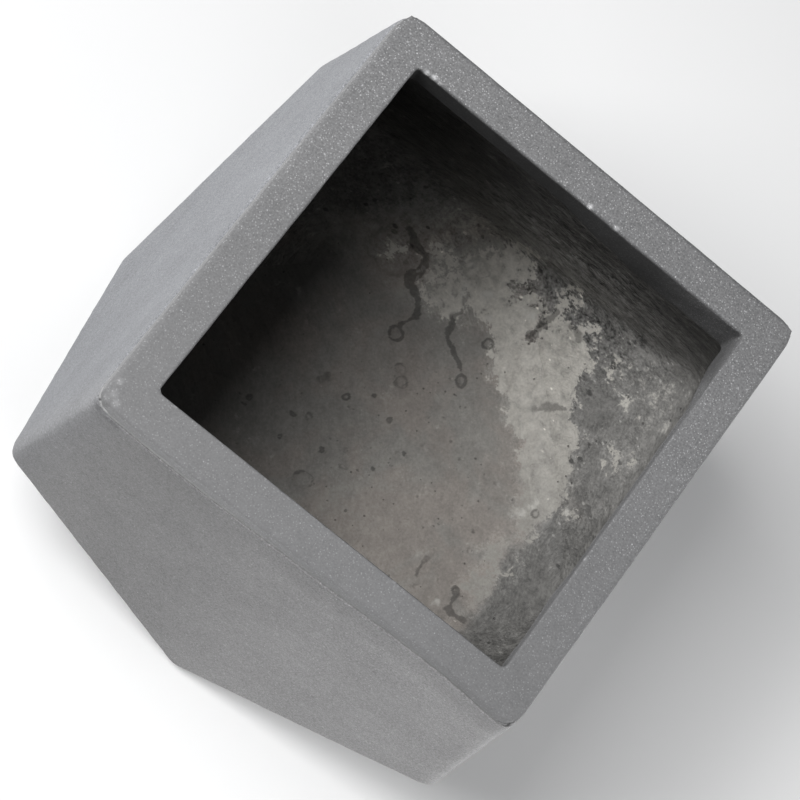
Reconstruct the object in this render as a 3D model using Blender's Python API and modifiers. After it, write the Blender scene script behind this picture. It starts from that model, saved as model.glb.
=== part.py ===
"""Faceted planter box, cast in layers of fibre cement.

Metres, +Z up. The origin is the centre of the underside, and X and Y are square to the rim's sides.
The casting is the hull of twelve balls: four at the corners of the square rim, four at the corners of
a wider belt below it, and four at the corners of a base turned by 45 degrees, which stand under the
middles of the rim's sides. Smaller balls on the same centres give the hulls between the layers.
"""

import math

import bmesh
import bpy
from mathutils import Matrix, Vector

# Outer form of the casting, to its sharp corners
RIM_HALF = 0.200  # half the outer side of the rim
HEIGHT = 0.390  # underside to the top of the rim
BELT_HALF = 0.228  # half the width at the belt corners
BELT_HEIGHT = 0.130  # height of the belt corners
FOOT_HALF = 0.256  # half the diagonal of the base

# How far the balls' centres lie inside the sharp corners, as shares of their depth below the surface
BELT_RISE = 0.45  # belt corners go up by this share
FOOT_DRAW = 0.90  # base corners go in by this share

# Layers, from the outside in
GAP = 0.0003  # clearance between touching pieces
FACE_THICKNESS = 0.0040
SCRIM_THICKNESS = 0.0008
BACKING_THICKNESS = 0.0090
SCREED_TOP = 0.025  # height of the floor inside

# Rim
OPENING_HALF = 0.167  # half the side of the mouth
RIM_THICKNESS = 0.014  # the flat frame, without its lip
LIP_DEPTH = 0.042  # the lip's lower edge, below the top of the rim
BEAD_THICKNESS = 0.0024
BEAD_RECESS = 0.0020  # how far the bead lies behind the wall's face

# Rounding
OUTER_RADIUS = 0.015
CAVITY_RADIUS = 0.022
RIM_TOP_ROUND = 0.0035
ROUND_SEGMENTS = 3
BALL_SEGMENTS = 16
BALL_RINGS = 8
SHARP_ANGLE = math.radians(35)
FLAT_ANGLE = math.radians(0.5)

# Coves between the floor and the corner facets
COVE_LEG = 0.016  # width of the cove on the floor
COVE_LENGTH = 0.280

CLEAR = 0.050  # how far a cutter runs past what it cuts
COATS_TOP = HEIGHT - RIM_THICKNESS - BEAD_THICKNESS - 2 * GAP


def clear_scene():
    for old in list(bpy.data.objects):
        bpy.data.objects.remove(old, do_unlink=True)


def add_collection(name):
    collection = bpy.data.collections.new(name)
    bpy.context.scene.collection.children.link(collection)
    return collection


def add_material(name, colour, roughness):
    material = bpy.data.materials.new(name)
    material.use_nodes = True
    shader = material.node_tree.nodes["Principled BSDF"]
    shader.inputs["Base Color"].default_value = (*colour, 1.0)
    shader.inputs["Roughness"].default_value = roughness
    shader.inputs["Metallic"].default_value = 0.0
    material.diffuse_color = (*colour, 1.0)
    return material


def add_object(name, bm, collection):
    mesh = bpy.data.meshes.new(name)
    bm.to_mesh(mesh)
    bm.free()
    made = bpy.data.objects.new(name, mesh)
    collection.objects.link(made)
    return made


def add_cutter(name, bm, cutters):
    made = add_object(name, bm, cutters)
    made.hide_render = True
    made.display_type = "WIRE"
    return made


def box_mesh(lower, upper):
    """A box between two corners."""
    size = Vector(upper) - Vector(lower)
    middle = (Vector(upper) + Vector(lower)) / 2
    bm = bmesh.new()
    place = Matrix.Translation(middle) @ Matrix.Diagonal((*size, 1.0))
    bmesh.ops.create_cube(bm, size=1.0, matrix=place)
    return bm


def ball_centres(depth):
    """The casting's twelve corners, moved in by a depth. The rim's stay at the rim's height."""
    rim = RIM_HALF - depth
    belt = BELT_HALF - depth
    foot = FOOT_HALF - FOOT_DRAW * depth
    centres = []
    for sx in (-1, 1):
        for sy in (-1, 1):
            centres.append((sx * rim, sy * rim, HEIGHT))
            centres.append((sx * belt, sy * belt, BELT_HEIGHT + BELT_RISE * depth))
        centres.append((sx * foot, 0.0, depth))
        centres.append((0.0, sx * foot, depth))
    return centres


def casting_mesh(depth, radius):
    """The whole casting as one block: the hull of balls whose centres lie at a depth."""
    bm = bmesh.new()
    for centre in ball_centres(depth):
        bmesh.ops.create_uvsphere(
            bm,
            u_segments=BALL_SEGMENTS,
            v_segments=BALL_RINGS,
            radius=radius,
            matrix=Matrix.Translation(centre),
        )
    hull = bmesh.ops.convex_hull(bm, input=bm.verts)
    spare = {item for item in hull["geom_interior"] if isinstance(item, bmesh.types.BMVert)}
    bmesh.ops.delete(bm, geom=list(spare), context="VERTS")
    kept = {item for item in hull["geom"] if item.is_valid and isinstance(item, bmesh.types.BMFace)}
    bmesh.ops.delete(bm, geom=[face for face in bm.faces if face not in kept], context="FACES_ONLY")
    bmesh.ops.dissolve_limit(bm, angle_limit=FLAT_ANGLE, verts=bm.verts, edges=bm.edges)
    bmesh.ops.recalc_face_normals(bm, faces=bm.faces)
    return bm


def boolean(target, cutter, operation="DIFFERENCE"):
    modifier = target.modifiers.new(cutter.name, "BOOLEAN")
    modifier.object = cutter
    modifier.operation = operation
    modifier.solver = "EXACT"


def round_marked_edges(made, width):
    bevel = made.modifiers.new("Rounding", "BEVEL")
    bevel.width = width
    bevel.segments = ROUND_SEGMENTS
    bevel.limit_method = "WEIGHT"


def mark_edges(bm, share):
    """Writes each edge's share of the Bevel modifier's width."""
    layer = bm.edges.layers.float.new("bevel_weight_edge")
    for edge in bm.edges:
        edge[layer] = share(edge)


def upright(edge):
    return abs(edge.verts[0].co.z - edge.verts[1].co.z) > GAP


def level_cutter(name, lowest, highest, cutters):
    """A wide box between two heights."""
    reach = FOOT_HALF + CLEAR
    return add_cutter(name, box_mesh((-reach, -reach, lowest), (reach, reach, highest)), cutters)


def finish(made, material):
    made.data.materials.append(material)
    made.data.shade_smooth()
    made.data.set_sharp_from_angle(angle=SHARP_ANGLE)


def coat(name, outer, inner, parts, cutters):
    """One layer of the casting between two blocks, each given as (depth, radius), open at the top."""
    made = add_object(name, casting_mesh(*outer), parts)
    boolean(made, add_cutter(f"{name}_core", casting_mesh(*inner), cutters))
    boolean(made, level_cutter(f"above_{name}", COATS_TOP, HEIGHT + CLEAR, cutters))
    return made


def rim_bead(inner, parts, cutters):
    """The flat ring of mortar between the coats' top edges and the rim."""
    lowest = COATS_TOP + GAP
    outer = (OUTER_RADIUS, OUTER_RADIUS - BEAD_RECESS)
    made = add_object("rim_joint_bead", casting_mesh(*outer), parts)
    boolean(made, add_cutter("bead_core", casting_mesh(*inner), cutters))
    boolean(made, level_cutter("above_bead", lowest + BEAD_THICKNESS, HEIGHT + CLEAR, cutters))
    boolean(made, level_cutter("below_bead", -CLEAR, lowest, cutters))
    return made


def rim_frame(cavity, parts, cutters):
    """The flat square frame with the lip that hangs inside the backing."""
    under = HEIGHT - RIM_THICKNESS
    bm = box_mesh((-RIM_HALF, -RIM_HALF, under), (RIM_HALF, RIM_HALF, HEIGHT))
    top_share = RIM_TOP_ROUND / OUTER_RADIUS

    def share(edge):
        if upright(edge):
            return 1.0
        return top_share if edge.verts[0].co.z > under + GAP else 0.0

    mark_edges(bm, share)
    made = add_object("rim_frame", bm, parts)
    round_marked_edges(made, OUTER_RADIUS)

    lip = add_cutter("lip_block", casting_mesh(*cavity), cutters)
    boolean(lip, level_cutter("above_lip", under + RIM_THICKNESS / 2, HEIGHT + CLEAR, cutters))
    boolean(lip, level_cutter("below_lip", -CLEAR, HEIGHT - LIP_DEPTH, cutters))
    boolean(made, lip, "UNION")

    lower = (-OPENING_HALF, -OPENING_HALF, HEIGHT - LIP_DEPTH - CLEAR)
    mouth = add_cutter("mouth", box_mesh(lower, (OPENING_HALF, OPENING_HALF, HEIGHT + CLEAR)), cutters)
    boolean(made, mouth)
    return made


def floor_screed(cavity, parts, cutters):
    """The poured floor, which fills the bottom of the cavity."""
    made = add_object("floor_screed", casting_mesh(*cavity), parts)
    boolean(made, level_cutter("above_screed", SCREED_TOP, HEIGHT + CLEAR, cutters))
    return made


def cavity_facet(depth, radius):
    """A corner facet of the cavity, seen from the side: its slope, and where it meets the floor."""
    foot = (FOOT_HALF - FOOT_DRAW * depth) / math.sqrt(2)
    belt = (BELT_HALF - depth) * math.sqrt(2)
    rise = BELT_HEIGHT + BELT_RISE * depth - depth
    slope = math.atan2(rise, belt - foot)
    level_foot = foot + (SCREED_TOP - depth) / math.tan(slope)
    return slope, level_foot + radius / math.sin(slope)


def floor_cove(number, cavity, parts, cutters):
    """A flat-faced fillet of mortar in the crease between the floor and one corner facet."""
    slope, crease = cavity_facet(*cavity)
    half = COVE_LENGTH / 2
    bm = box_mesh((-COVE_LEG, -half, -COVE_LEG), (COVE_LEG * 4, half, 0.0))
    made = add_object(f"floor_cove_{number}", bm, parts)
    turn = Matrix.Rotation(math.radians(45 + 90 * number), 4, "Z")
    toe = Matrix.Translation((crease - COVE_LEG, 0.0, SCREED_TOP))
    made.matrix_world = turn @ toe @ Matrix.Rotation(-slope / 2, 4, "Y")
    boolean(made, add_cutter(f"cove_block_{number}", casting_mesh(*cavity), cutters), "INTERSECT")
    boolean(made, level_cutter(f"below_cove_{number}", -CLEAR, SCREED_TOP + GAP, cutters))
    return made


def build():
    clear_scene()
    parts = add_collection("planter_box")
    cutters = add_collection("cutters")

    face_coat = add_material("face_coat", (0.22, 0.22, 0.23), 0.75)
    rim_mix = add_material("rim_mix", (0.20, 0.20, 0.21), 0.75)
    mortar = add_material("mortar", (0.10, 0.10, 0.10), 0.90)
    glass_mat = add_material("glass_mat", (0.70, 0.72, 0.70), 0.50)
    brushed_coat = add_material("brushed_coat", (0.07, 0.07, 0.07), 0.85)
    screed = add_material("screed", (0.15, 0.14, 0.13), 0.60)

    scrim_inset = FACE_THICKNESS + GAP
    backing_inset = scrim_inset + SCRIM_THICKNESS + GAP
    cavity_inset = backing_inset + BACKING_THICKNESS
    outside = (OUTER_RADIUS, OUTER_RADIUS)
    face_back = (OUTER_RADIUS, OUTER_RADIUS - FACE_THICKNESS)
    scrim_front = (OUTER_RADIUS, OUTER_RADIUS - scrim_inset)
    scrim_back = (OUTER_RADIUS, OUTER_RADIUS - scrim_inset - SCRIM_THICKNESS)
    backing_front = (OUTER_RADIUS, OUTER_RADIUS - backing_inset)
    cavity_wall = (cavity_inset + CAVITY_RADIUS, CAVITY_RADIUS)
    cavity_fill = (cavity_inset + CAVITY_RADIUS, CAVITY_RADIUS - GAP)

    finish(coat("face_shell", outside, face_back, parts, cutters), face_coat)
    finish(coat("glass_scrim", scrim_front, scrim_back, parts, cutters), glass_mat)
    finish(coat("fibre_backing", backing_front, cavity_wall, parts, cutters), brushed_coat)
    finish(rim_bead(cavity_wall, parts, cutters), mortar)
    finish(rim_frame(cavity_fill, parts, cutters), rim_mix)
    finish(floor_screed(cavity_fill, parts, cutters), screed)
    for number in range(1, 5):
        finish(floor_cove(number, cavity_fill, parts, cutters), mortar)


build()
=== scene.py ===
"""Looks for the faceted planter box: speckled fibre cement outside, a brushed and stained hollow inside.

Metres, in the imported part's frame: +Z up, the origin under the middle, X and Y square to the rim's sides.
The rim's corners are called left (-x, -y), near (+x, -y), right (+x, +y) and far (-x, +y).
Plan coordinates run diagonally: `out` towards the right corner and `side` towards the far corner.
"""

import itertools
import math
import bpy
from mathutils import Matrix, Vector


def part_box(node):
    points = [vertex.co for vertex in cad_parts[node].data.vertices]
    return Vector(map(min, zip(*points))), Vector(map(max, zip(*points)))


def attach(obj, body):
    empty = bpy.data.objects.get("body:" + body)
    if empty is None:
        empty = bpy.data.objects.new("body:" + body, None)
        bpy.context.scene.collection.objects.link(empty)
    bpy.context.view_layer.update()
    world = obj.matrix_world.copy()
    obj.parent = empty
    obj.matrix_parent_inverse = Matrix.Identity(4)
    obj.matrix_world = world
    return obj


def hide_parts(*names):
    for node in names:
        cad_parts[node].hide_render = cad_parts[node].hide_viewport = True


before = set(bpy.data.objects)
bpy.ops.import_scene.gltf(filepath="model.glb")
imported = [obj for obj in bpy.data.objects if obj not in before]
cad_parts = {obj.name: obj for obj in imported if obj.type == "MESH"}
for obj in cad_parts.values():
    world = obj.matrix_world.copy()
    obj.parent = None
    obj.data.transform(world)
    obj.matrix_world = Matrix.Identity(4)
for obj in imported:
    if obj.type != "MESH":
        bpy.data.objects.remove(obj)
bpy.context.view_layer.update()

from types import SimpleNamespace

import bmesh
import bpy
import numpy as np
from mathutils import Matrix, Vector

# Sizes read from the frame
RIM_LOW, RIM_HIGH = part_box("rim_frame")
FLOOR_LOW, FLOOR_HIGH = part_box("floor_screed")
RIM_HALF = RIM_HIGH[0]
HEIGHT = RIM_HIGH[2]
LIP_LOW = RIM_LOW[2]
FRAME_LOW = HEIGHT - 0.014  # underside of the flat frame, where the lip starts
FACE_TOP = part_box("face_shell")[1][2]
FLOOR_TOP = FLOOR_HIGH[2]

# Form of the walls, as in the part: sharp corners of the belt and of the turned base
BELT_HALF = 0.228
BELT_HEIGHT = 0.130
# How far the walls lean out for each metre down
WALL_FLARE = (BELT_HALF - RIM_HALF) / (HEIGHT - BELT_HEIGHT)
FOOT_REACH = 0.014  # how far a base corner stands out from the plane of the wall above it
FACET_SLOPE = math.radians(44.2)  # slope of the corner facets inside
CREASE_OUT = 0.1776  # where a facet meets the floor inside, from the middle
OPENING_HALF = 0.167  # half of the mouth's width
MOUTH_ROUND = 0.0035  # radius of the mouth's upright corners
EDGE_WORN = 0.0007  # how far the outer coat's top edge is worn back
LIP_LEAN = 0.0055  # how far the foot of the +x side's lip leans back
# Where the top of the -y wall, rim and all, is bowed: middle, width to its left and right, how far inwards
BOWS = ((0.130, 0.110, 0.055, 0.0044), (-0.110, 0.070, 0.070, -0.0015))
SCRIM_THICKNESS = 0.0008
HOLLOW_INSET = 0.0144  # from the outside of the walls to the hollow
COVE_HALF = 0.155  # half of a cove's length
BEAD_PUSH = 0.0017  # how far the joint's filler is pressed outwards
BEAD_ROUND = 0.010  # radius of its outer corners in plan
BEAD_SWELL = 2.2  # how much taller the filler is than its groove
DIAGONAL = math.sqrt(2)

# How many small marks are scattered
CHIP_COUNT = 90
PIT_COUNT = 150
SPECK_COUNT = 80

# Mesh fineness
COARSER = 1.0
FACE_VOXEL = 0.0035 * COARSER
RIM_VOXEL = 0.0015 * COARSER
HOLLOW_VOXEL = 0.0025 * COARSER
HOLLOW_SOFTENING = 14  # rounds of smoothing that ease the creases of the hollow
BEAD_VOXEL = 0.0012
CORE_VOXEL = 0.0090  # for surfaces that are hidden between the coats
FLOOR_STEP = 0.0014 * COARSER
COVE_STEP = 0.0022 * COARSER
COVE_STEPS_ACROSS = 16
SHARP_ANGLE = math.radians(40)  # edges that turn more than this are shaded as creases


# ---------------------------------------------------------------- noise, for shapes


def hashed(cells, seed):
    """A repeatable number from 0 to 1 for each integer cell."""
    wrapped = (cells & 0xFFFFFFFF).astype(np.uint32)
    value = wrapped[:, 0] * np.uint32(374761393)
    value += wrapped[:, 1] * np.uint32(668265263)
    value += wrapped[:, 2] * np.uint32(2246822519)
    value += np.uint32((seed * 3266489917) % 2**32)
    for shift in (15, 13, 16):
        value ^= value >> np.uint32(shift)
        value *= np.uint32(2654435761)
    value ^= value >> np.uint32(15)
    return value / 2.0**32


def noise(points, size, seed):
    """Smooth noise from -1 to 1 with features of one size."""
    spots = points / size
    cell = np.floor(spots).astype(np.int64)
    t = spots - cell
    t = t * t * (3 - 2 * t)
    total = np.zeros(len(points))
    for corner in itertools.product((0, 1), repeat=3):
        weight = np.prod(np.where(np.array(corner) == 1, t, 1 - t), axis=1)
        total += weight * hashed(cell + np.array(corner), seed)
    return 2 * total - 1


def cloud(points, size, seed, octaves=3):
    """Noise with finer noise on it, from about -1 to 1."""
    total = np.zeros(len(points))
    for octave in range(octaves):
        total += noise(points, size / 2**octave, seed + octave) / 2**octave
    return total / 1.5


def ramp(value, low, high):
    """0 up to `low` and 1 from `high`, with soft ends; the other way round if `low` is the higher."""
    t = np.clip((value - low) / (high - low), 0, 1)
    return t * t * (3 - 2 * t)


# ---------------------------------------------------------------- mesh tools


def read_vectors(items, name):
    """One vector of each vertex, as rows."""
    values = np.empty(len(items) * 3, np.float32)
    items.foreach_get(name, values)
    return values.reshape(-1, 3).astype(float)


def read_points(mesh):
    return read_vectors(mesh.vertices, "co")


def read_normals(mesh):
    return read_vectors(mesh.vertex_normals, "vector")


def write_points(mesh, points):
    mesh.vertices.foreach_set("co", points.astype(np.float32).ravel())
    mesh.update()


def write_field(mesh, name, values):
    """A number, or a vector, on each vertex, which the materials read."""
    kind = "FLOAT_VECTOR" if values.ndim == 2 else "FLOAT"
    layer = mesh.attributes.new(name, kind, "POINT")
    layer.data.foreach_set("vector" if values.ndim == 2 else "value", values.astype(np.float32).ravel())


def relax(mesh, times):
    """Moves each vertex half way to the middle of its neighbours."""
    edges = np.empty(len(mesh.edges) * 2, np.int32)
    mesh.edges.foreach_get("vertices", edges)
    first, second = edges.reshape(-1, 2).T
    count = np.bincount(edges, minlength=len(mesh.vertices))[:, None]
    points = read_points(mesh)
    for _ in range(times):
        total = np.zeros_like(points)
        for axis in range(3):
            total[:, axis] += np.bincount(first, points[second, axis], len(points))
            total[:, axis] += np.bincount(second, points[first, axis], len(points))
        points = (points + total / count) / 2
    write_points(mesh, points)


def new_object(name, data):
    """An object in the scene."""
    made = bpy.data.objects.new(name, data)
    bpy.context.scene.collection.objects.link(made)
    return made


def applied(mesh, kind, **settings):
    """The mesh with one modifier applied."""
    holder = new_object("holder", mesh)
    modifier = holder.modifiers.new(kind, kind)
    for name, value in settings.items():
        setattr(modifier, name, value)
    graph = bpy.context.evaluated_depsgraph_get()
    made = bpy.data.meshes.new_from_object(holder.evaluated_get(graph))
    bpy.data.objects.remove(holder)
    return made


def remeshed(mesh, voxel, relaxing=2):
    made = applied(mesh, "REMESH", mode="VOXEL", voxel_size=voxel)
    relax(made, relaxing)
    return made


def combined(mesh, other, operation):
    """Two closed meshes joined, cut or intersected."""
    cutter = new_object("cutter", other)
    made = applied(mesh, "BOOLEAN", object=cutter, operation=operation, solver="MANIFOLD")
    bpy.data.objects.remove(cutter)
    return made


def hull_of(points):
    """The convex hull of some points."""
    bm = bmesh.new()
    for point in points:
        bm.verts.new(point)
    bmesh.ops.convex_hull(bm, input=bm.verts)
    unused = [vert for vert in bm.verts if not vert.link_faces]
    bmesh.ops.delete(bm, geom=unused, context="VERTS")
    bmesh.ops.recalc_face_normals(bm, faces=bm.faces)
    return mesh_from(bm)


def mesh_from(bm):
    made = bpy.data.meshes.new("made")
    bm.to_mesh(made)
    bm.free()
    return made


def with_top(points, top, rise):
    """The points, with those at the top copied straight up, so that a hull of them runs past the top."""
    highest = points[points[:, 2] > top - 0.001]
    return np.vstack([points, highest + np.array([0, 0, rise])])


def node_mesh(name):
    """A copy of a CAD node's mesh, with the seams between its shading groups welded."""
    bm = bmesh.new()
    bm.from_mesh(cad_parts[name].data)
    bmesh.ops.remove_doubles(bm, verts=bm.verts, dist=0.000001)
    return mesh_from(bm)


def node_points(name):
    return read_points(node_mesh(name))


def hollow_points():
    """The corners of the backing's inner surface."""
    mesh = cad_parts["fibre_backing"].data
    points = read_points(mesh)
    middle = np.array([0, 0, HEIGHT / 2])
    inner = set()
    for face in mesh.polygons:
        if np.dot(np.array(face.normal), np.array(face.center) - middle) < 0:
            inner.update(face.vertices)
    return points[sorted(inner)]


def finish_piece(name, mesh, slot, material, *nodes):
    """Makes the piece that stands for some CAD nodes."""
    mesh.name = name
    write_points(mesh, bowed(read_points(mesh)))
    mesh.materials.clear()
    mesh.materials.append(material)
    mesh.shade_smooth()
    mesh.set_sharp_from_angle(angle=SHARP_ANGLE)
    piece = new_object(name, mesh)
    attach(piece, "root")
    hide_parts(*nodes)


# ---------------------------------------------------------------- the casting's walls


def bowed(points):
    """Bows the top of the -y side in near the near corner and out near the left one; the mouth stays."""
    x, y, z = points.T
    near_top = ramp(z, HEIGHT - 0.110, HEIGHT - 0.010)
    outer = np.clip((-y - OPENING_HALF - 0.002) / (RIM_HALF - OPENING_HALF - 0.004), 0, 1)
    moved = points.copy()
    for middle, left_width, right_width, inwards in BOWS:
        away = x - middle
        width = np.where(away < 0, left_width, right_width)
        moved[:, 1] += inwards * np.exp(-((away / width) ** 2)) * near_top * outer
    return moved


def soften_walls(points, normals, inset=0.0):
    """Bends each wall in one easy curve, in place of the hull's faint folds, to the same edges."""
    moved = points.copy()
    depth = np.maximum(HEIGHT - points[:, 2], 0)
    down = depth / HEIGHT
    belt_depth = HEIGHT - BELT_HEIGHT
    below_belt = np.clip((depth - belt_depth) / BELT_HEIGHT, 0, 1)
    above = RIM_HALF - inset + WALL_FLARE * depth
    half = np.where(depth < belt_depth, above, (BELT_HALF - inset) * (1 - below_belt))
    half = np.maximum(half, 0.001)
    flat_half = (RIM_HALF - inset) * (1 - down)
    for across, along in ((0, 1), (1, 0)):
        from_middle = np.abs(points[:, along])
        share = np.clip(from_middle / half, 0, 1)
        fold = np.clip((from_middle - flat_half) / np.maximum(half - flat_half, 0.001), 0, 1)
        hull = down * (1 - fold) + below_belt * fold
        eased = down**2.5 * (1 - share**2) + below_belt * share**2
        facing = ramp(np.abs(normals[:, across]), 0.55, 0.92)
        moved[:, across] += np.sign(points[:, across]) * FOOT_REACH * (eased - hull) * facing
    return moved


def softened_block(points, voxel, relaxing, inset=0.0):
    """A closed block around some points, finely divided, with soft walls, which runs past its top."""
    top = points[:, 2].max()
    block = remeshed(hull_of(with_top(points, top, 3 * voxel)), voxel, relaxing)
    write_points(block, soften_walls(read_points(block), read_normals(block), inset))
    return block


def cut_level(mesh, height):
    """The mesh without what is above a height, left open there."""
    bm = bmesh.new()
    bm.from_mesh(mesh)
    everything = [*bm.verts, *bm.edges, *bm.faces]
    bmesh.ops.bisect_plane(bm, geom=everything, plane_co=(0, 0, height), plane_no=(0, 0, 1), clear_outer=True)
    return mesh_from(bm)


def space_above(height):
    corners = itertools.product((-1, 1), (-1, 1), (height, 1))
    return hull_of(list(corners))


def face_skin(material):
    """The thick outer coat: smooth walls with slow waves."""
    block = softened_block(node_points("face_shell"), FACE_VOXEL, 3)
    points, normals = read_points(block), read_normals(block)
    waves = 0.00045 * cloud(points, 0.11, 11) + 0.00014 * cloud(points, 0.022, 17, 2)
    resting = ramp(points[:, 2], 0.001, 0.012)
    points += normals * (waves * resting)[:, None]
    write_points(block, points)
    block = combined(block, space_above(FACE_TOP), "DIFFERENCE")
    core = softened_block(node_points("glass_scrim"), CORE_VOXEL, 1)
    mesh = combined(block, core, "DIFFERENCE")
    points = read_points(mesh)
    outer = np.max(np.abs(points[:, :2]), axis=1)
    edge = (points[:, 2] > FACE_TOP - 0.0005) & (outer > RIM_HALF)
    points[edge, :2] *= 1 - EDGE_WORN / RIM_HALF
    write_points(mesh, ridged(points))
    write_field(mesh, "tone_and_shade", face_painted_shade(points))
    finish_piece("face_skin", mesh, "face_coat", material, "face_shell")


def left_mark(points, below):
    """For a short level mark on the -y wall at its left corner: how much of it is at each point's place along
    the wall, and how far each point is above or below it."""
    x, y, z = points.T
    along = x + RIM_HALF
    length = ramp(along, -0.006, 0.002) * ramp(along, 0.034, 0.018)
    return length, np.where(y < -RIM_HALF * 0.98, np.abs(HEIGHT - z - below), 1.0)


def ridged(points):
    """Raises a short thin ridge, a mark of the mould, beside the left corner."""
    length, away = left_mark(points, 0.026)
    moved = points.copy()
    moved[:, 1] -= 0.0016 * length * ramp(away, 0.0040, 0.0)
    return moved


def face_painted_shade(points):
    """How light the outer coat is, all painted shade: darker towards the left corner, a painted shadow in a
    band above the ridge, and darker on the -y wall, most at its left end and, under the rim, towards its
    right end.
    """
    x, y, z = points.T
    from_left = np.hypot(x + RIM_HALF, y + RIM_HALF)
    tone_and_shade = 0.89 + 0.12 * ramp(from_left, 0.02, 0.30) + 0.05 * ramp(from_left, 0.25, 0.45)
    # Painted shadow of the ridge, in a thin band above it.
    length, away = left_mark(points, 0.020)
    tone_and_shade *= 1 - 0.26 * length * ramp(away, 0.0050, 0.001)
    # Painted shade on the -y wall, more towards its left end and under the rim.
    near_side = ramp(y, -0.15, -0.19) * ramp(x - y, -0.002, 0.004)
    under_rim = ramp(z, FACE_TOP - 0.045, FACE_TOP - 0.003)
    darker = 0.02 + 0.10 * ramp(x, 0.10, -0.08)
    darker += under_rim * (0.04 + 0.09 * ramp(x, -0.05, 0.08))
    return tone_and_shade * (1 - near_side * darker)


def scrim_skin(material):
    """The thin glass mat between the coats, which shows only at its top edge."""
    sheet = cut_level(softened_block(node_points("glass_scrim"), CORE_VOXEL, 1), FACE_TOP)
    mesh = applied(sheet, "SOLIDIFY", thickness=SCRIM_THICKNESS, offset=-1.0)
    finish_piece("scrim_skin", mesh, "glass_mat", material, "glass_scrim")


def rim_casting(material):
    """The flat frame and its lip, with soft worn edges and small chips."""
    mesh = remeshed(node_mesh("rim_frame"), RIM_VOXEL, 2)
    write_points(mesh, spread_sides(lean_lip(taper_lip(round_mouth(read_points(mesh))))))
    relax(mesh, 1)
    points, normals = read_points(mesh), read_normals(mesh)
    on_top = ramp(points[:, 2], HEIGHT - 0.006, HEIGHT - 0.001)
    lift = 0.00030 * cloud(points, 0.055, 23) + 0.00010 * cloud(points, 0.009, 29, 2)
    ragged = 0.00035 * cloud(points, 0.018, 31, 3)
    lip_rough = 0.0009 * cloud(points, 0.030, 37, 3) * ramp(points[:, 2], HEIGHT - 0.018, LIP_LOW)
    side = 1 - np.abs(normals[:, 2])
    points += normals * (lift * (1 - 0.5 * on_top) + (ragged + lip_rough) * side)[:, None]
    points = chipped_edges(points)
    write_points(mesh, points)
    write_field(mesh, "tone_and_shade", rim_tone_and_painted_light(points))
    finish_piece("rim_casting", mesh, "rim_mix", material, "rim_frame")


# Where the rim's aggregate shows white: (x, y), radius, how white
RIM_CHIPS = (
    ((-0.159, 0.166), 0.0034, 2.4), ((-0.152, 0.168), 0.0030, 2.0), ((-0.146, 0.167), 0.0022, 1.4),
    ((0.007, 0.168), 0.0026, 2.4), ((0.034, 0.168), 0.0024, 1.8), ((-0.192, -0.190), 0.0045, 0.45),
    ((-0.194, -0.180), 0.0032, 0.5), ((-0.186, -0.194), 0.0036, 0.5), ((-0.196, -0.198), 0.0040, 0.6),
    ((-0.150, -0.168), 0.0018, 0.7), ((0.060, -0.168), 0.0015, 1.0), ((0.110, 0.166), 0.0018, 1.2),
    ((0.168, -0.060), 0.0014, 1.0),
)


def rim_tone_and_painted_light(points):
    """How light the rim is: painted shade on the lip's inner faces, deepest on the -x side, painted light on
    its outer sides, strongest towards -x, with blotches and white chips.
    """
    x, y, z = points.T
    outer = np.maximum(np.abs(x), np.abs(y))
    depth = HEIGHT - z
    # Painted shade on the lip's inner faces going down into the mouth: sudden on the -x and +y sides, less
    # towards +x, gradual on the others.
    in_mouth = ramp(outer, OPENING_HALF + 0.003, OPENING_HALF + 0.0005)
    shade = 0.92 - 0.10 * ramp(x, -0.03, 0.04) - 0.38 * ramp(x, 0.07, 0.15)
    sudden = ramp(depth, 0.002, 0.006) * shade
    gradual = 0.45 * ramp(depth, 0.002, 0.030)
    tone_and_shade = 1 - in_mouth * np.where(y > x + 0.001, sudden, gradual)
    # Painted light on the rim's outer sides, strongest towards -x.
    on_side = ramp(outer, RIM_HALF - 0.0012, RIM_HALF - 0.0002) * ramp(depth, 0.001, 0.004)
    tone_and_shade *= 1 + on_side * (0.42 - 0.30 * ramp(x, -0.10, 0.16))
    tone_and_shade *= 1 + 0.05 * cloud(points, 0.060, 113, 2)
    for spot, radius, white in RIM_CHIPS:
        away = distance_to(points, spot) + np.maximum(depth - 0.003, 0)
        tone_and_shade += white * ramp(away, radius * 1.3, 0)
    return tone_and_shade


def lean_lip(points):
    """Leans the lip's inner face back on the +x side, where it is thinner, up to near the right corner."""
    x, y, z = points.T
    inner = ramp(np.abs(x - OPENING_HALF), 0.006, 0.001) * (z < HEIGHT - 0.001)
    moved = points.copy()
    moved[:, 0] += LIP_LEAN * inner * ramp(y, 0.150, 0.090) * ramp(HEIGHT - z, 0.0, 0.020)
    return moved


def taper_lip(points):
    """Makes the +y side's lip less deep towards the far corner, and a little deeper towards the right one."""
    x, y, z = points.T
    hanging = np.maximum(FRAME_LOW - z, 0)
    deeper = 0.48 * ramp(x, -0.02, 0.04) + 0.20 * ramp(x, 0.04, 0.08) - 0.48
    moved = points.copy()
    moved[:, 2] -= hanging * deeper * ramp(y, 0.100, 0.160)
    return moved


def spread_sides(points):
    """Leans the rim's outer sides outwards going down, in line with the walls below."""
    moved = points.copy()
    lean = WALL_FLARE * np.clip(HEIGHT - points[:, 2], 0, HEIGHT - FACE_TOP)
    for axis in (0, 1):
        outer = ramp(np.abs(points[:, axis]), RIM_HALF - 0.012, RIM_HALF - 0.002)
        moved[:, axis] += np.sign(points[:, axis]) * lean * outer
    return moved


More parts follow.
